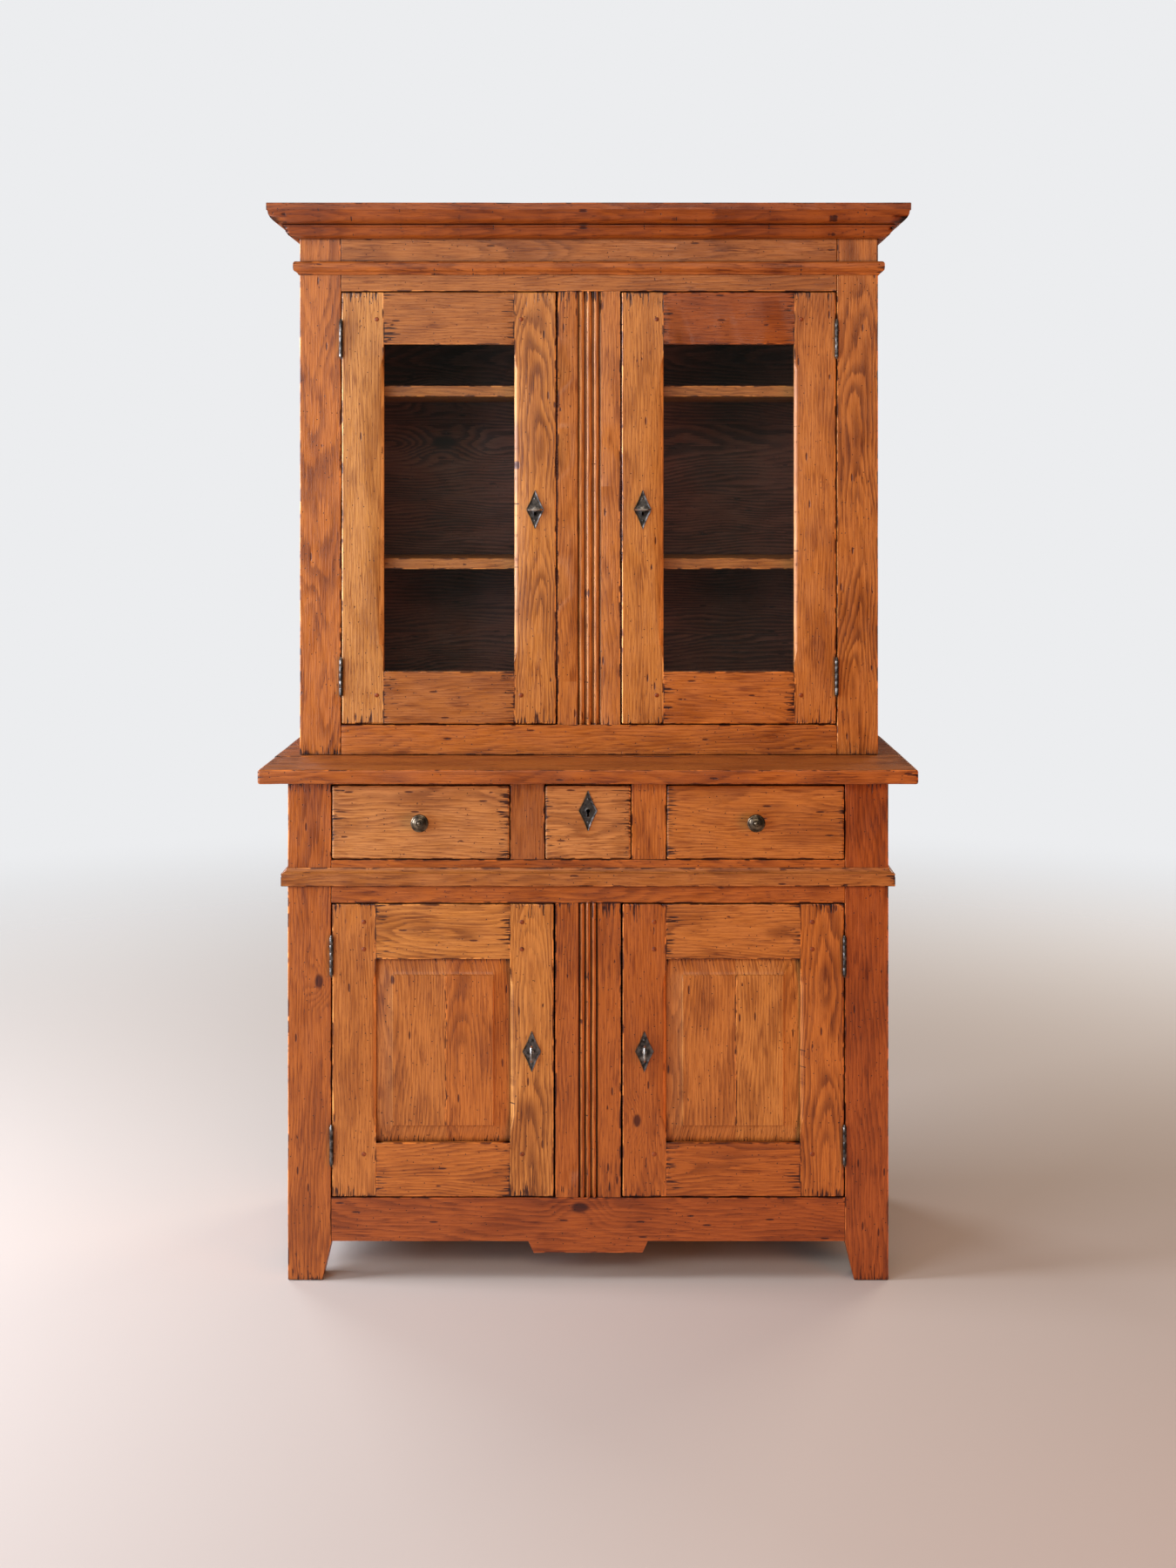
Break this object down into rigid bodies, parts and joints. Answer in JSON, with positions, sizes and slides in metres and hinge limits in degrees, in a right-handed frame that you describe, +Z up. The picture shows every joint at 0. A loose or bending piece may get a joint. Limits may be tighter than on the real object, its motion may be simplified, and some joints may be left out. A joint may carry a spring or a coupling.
{
  "type": "pantry cabinet",
  "caption": "Two-piece oak pantry cabinet: glazed upper doors over shelves, a worktop, drawers and panelled lower doors, with turning keys and sliding lock bolts.",
  "frame": {"origin": "on the floor, under the middle of the bounding box", "axes": "+X to the viewer's right facing the doors, +Y from the doors to the back, +Z up"},
  "size_m": [1.222, 0.49, 1.997],
  "materials": {
    "waxed_oak": "satin wax",
    "plain_boards": "unpolished",
    "dark_boards": "dark stained",
    "dark_iron": "blackened",
    "old_glass": "clear"
  },
  "bodies": {
    "carcass": {"base_side_left": "waxed_oak", "base_side_right": "waxed_oak", "base_middle_rail": "waxed_oak", "base_bottom_rail": "waxed_oak", "base_mullion": "waxed_oak", "drawer_divider_left": "waxed_oak", "drawer_divider_right": "waxed_oak", "base_floor": "plain_boards", "drawer_deck": "plain_boards", "base_back": "plain_boards", "worktop": "waxed_oak", "waist_moulding": "waxed_oak", "upper_side_left": "waxed_oak", "upper_side_right": "waxed_oak", "frieze_rail": "waxed_oak", "upper_bottom_rail": "waxed_oak", "upper_mullion": "waxed_oak", "shelf_upper": "waxed_oak", "shelf_lower": "waxed_oak", "upper_back": "dark_boards", "upper_top": "dark_boards", "cornice": "waxed_oak", "neck_moulding": "waxed_oak", "hinge_upper_left_bottom": "dark_iron", "hinge_upper_left_top": "dark_iron", "hinge_upper_right_bottom": "dark_iron", "hinge_upper_right_top": "dark_iron", "hinge_lower_left_bottom": "dark_iron", "hinge_lower_left_top": "dark_iron", "hinge_lower_right_bottom": "dark_iron", "hinge_lower_right_top": "dark_iron"},
    "door_upper_left": {"door_upper_left_frame": "waxed_oak", "door_upper_left_glass": "old_glass", "escutcheon_upper_left": "dark_iron"},
    "door_upper_right": {"door_upper_right_frame": "waxed_oak", "door_upper_right_glass": "old_glass", "escutcheon_upper_right": "dark_iron"},
    "door_lower_left": {"door_lower_left_frame": "waxed_oak", "door_lower_left_panel": "waxed_oak", "escutcheon_lower_left": "dark_iron"},
    "door_lower_right": {"door_lower_right_frame": "waxed_oak", "door_lower_right_panel": "waxed_oak", "escutcheon_lower_right": "dark_iron"},
    "key_upper_left": {"key_upper_left": "dark_iron"},
    "bolt_upper_left": {"bolt_upper_left": "dark_iron"},
    "key_upper_right": {"key_upper_right": "dark_iron"},
    "bolt_upper_right": {"bolt_upper_right": "dark_iron"},
    "key_lower_left": {"key_lower_left": "dark_iron"},
    "bolt_lower_left": {"bolt_lower_left": "dark_iron"},
    "key_lower_right": {"key_lower_right": "dark_iron"},
    "bolt_lower_right": {"bolt_lower_right": "dark_iron"},
    "drawer_left": {"drawer_front_left": "waxed_oak", "drawer_box_left": "plain_boards", "knob_left": "dark_iron"},
    "drawer_centre": {"drawer_front_centre": "waxed_oak", "drawer_box_centre": "plain_boards", "escutcheon_centre_drawer": "dark_iron"},
    "drawer_right": {"drawer_front_right": "waxed_oak", "drawer_box_right": "plain_boards", "knob_right": "dark_iron"}
  },
  "joints": [
    {"name": "door_upper_left_hinge", "type": "hinge", "parent": "carcass", "child": "door_upper_left", "pos_m": [-0.476, -0.0572, 1.41785], "axis": [0, 0, -1], "range_deg": [0, 170]},
    {"name": "key_upper_left_turn", "type": "hinge", "parent": "door_upper_left", "child": "key_upper_left", "pos_m": [-0.1035, -0.053, 1.41486], "axis": [0, 1, 0], "range_deg": [0, 180]},
    {"name": "bolt_upper_left_slide", "type": "slide", "parent": "door_upper_left", "child": "bolt_upper_left", "axis": [1, 0, 0], "range_m": [0, 0.0084]},
    {"name": "door_upper_right_hinge", "type": "hinge", "parent": "carcass", "child": "door_upper_right", "pos_m": [0.476, -0.0572, 1.41785], "axis": [0, 0, 1], "range_deg": [0, 170]},
    {"name": "key_upper_right_turn", "type": "hinge", "parent": "door_upper_right", "child": "key_upper_right", "pos_m": [0.1035, -0.053, 1.41486], "axis": [0, -1, 0], "range_deg": [0, 180]},
    {"name": "bolt_upper_right_slide", "type": "slide", "parent": "door_upper_right", "child": "bolt_upper_right", "axis": [-1, 0, 0], "range_m": [0, 0.0084]},
    {"name": "door_lower_left_hinge", "type": "hinge", "parent": "carcass", "child": "door_lower_left", "pos_m": [-0.471, -0.2172, 0.42275], "axis": [0, 0, -1], "range_deg": [0, 170]},
    {"name": "key_lower_left_turn", "type": "hinge", "parent": "door_lower_left", "child": "key_lower_left", "pos_m": [-0.1035, -0.213, 0.42092], "axis": [0, 1, 0], "range_deg": [0, 270]},
    {"name": "bolt_lower_left_slide", "type": "slide", "parent": "door_lower_left", "child": "bolt_lower_left", "axis": [1, 0, 0], "range_m": [0, 0.0084]},
    {"name": "door_lower_right_hinge", "type": "hinge", "parent": "carcass", "child": "door_lower_right", "pos_m": [0.471, -0.2172, 0.42275], "axis": [0, 0, 1], "range_deg": [0, 170]},
    {"name": "key_lower_right_turn", "type": "hinge", "parent": "door_lower_right", "child": "key_lower_right", "pos_m": [0.1035, -0.213, 0.42092], "axis": [0, -1, 0], "range_deg": [0, 270]},
    {"name": "bolt_lower_right_slide", "type": "slide", "parent": "door_lower_right", "child": "bolt_lower_right", "axis": [-1, 0, 0], "range_m": [0, 0.0084]},
    {"name": "drawer_left_slide", "type": "slide", "parent": "carcass", "child": "drawer_left", "axis": [0, -1, 0], "range_m": [0, 0.28]},
    {"name": "drawer_centre_slide", "type": "slide", "parent": "carcass", "child": "drawer_centre", "axis": [0, -1, 0], "range_m": [0, 0.28]},
    {"name": "drawer_right_slide", "type": "slide", "parent": "carcass", "child": "drawer_right", "axis": [0, -1, 0], "range_m": [0, 0.28]}
  ],
  "couplings": [
    {"joint": "key_upper_left_turn", "follows": "bolt_upper_left_slide", "rad_per_m": 373.9},
    {"joint": "key_upper_right_turn", "follows": "bolt_upper_right_slide", "rad_per_m": 373.9},
    {"joint": "key_lower_left_turn", "follows": "bolt_lower_left_slide", "rad_per_m": 560.9},
    {"joint": "key_lower_right_turn", "follows": "bolt_lower_right_slide", "rad_per_m": 560.9}
  ]
}
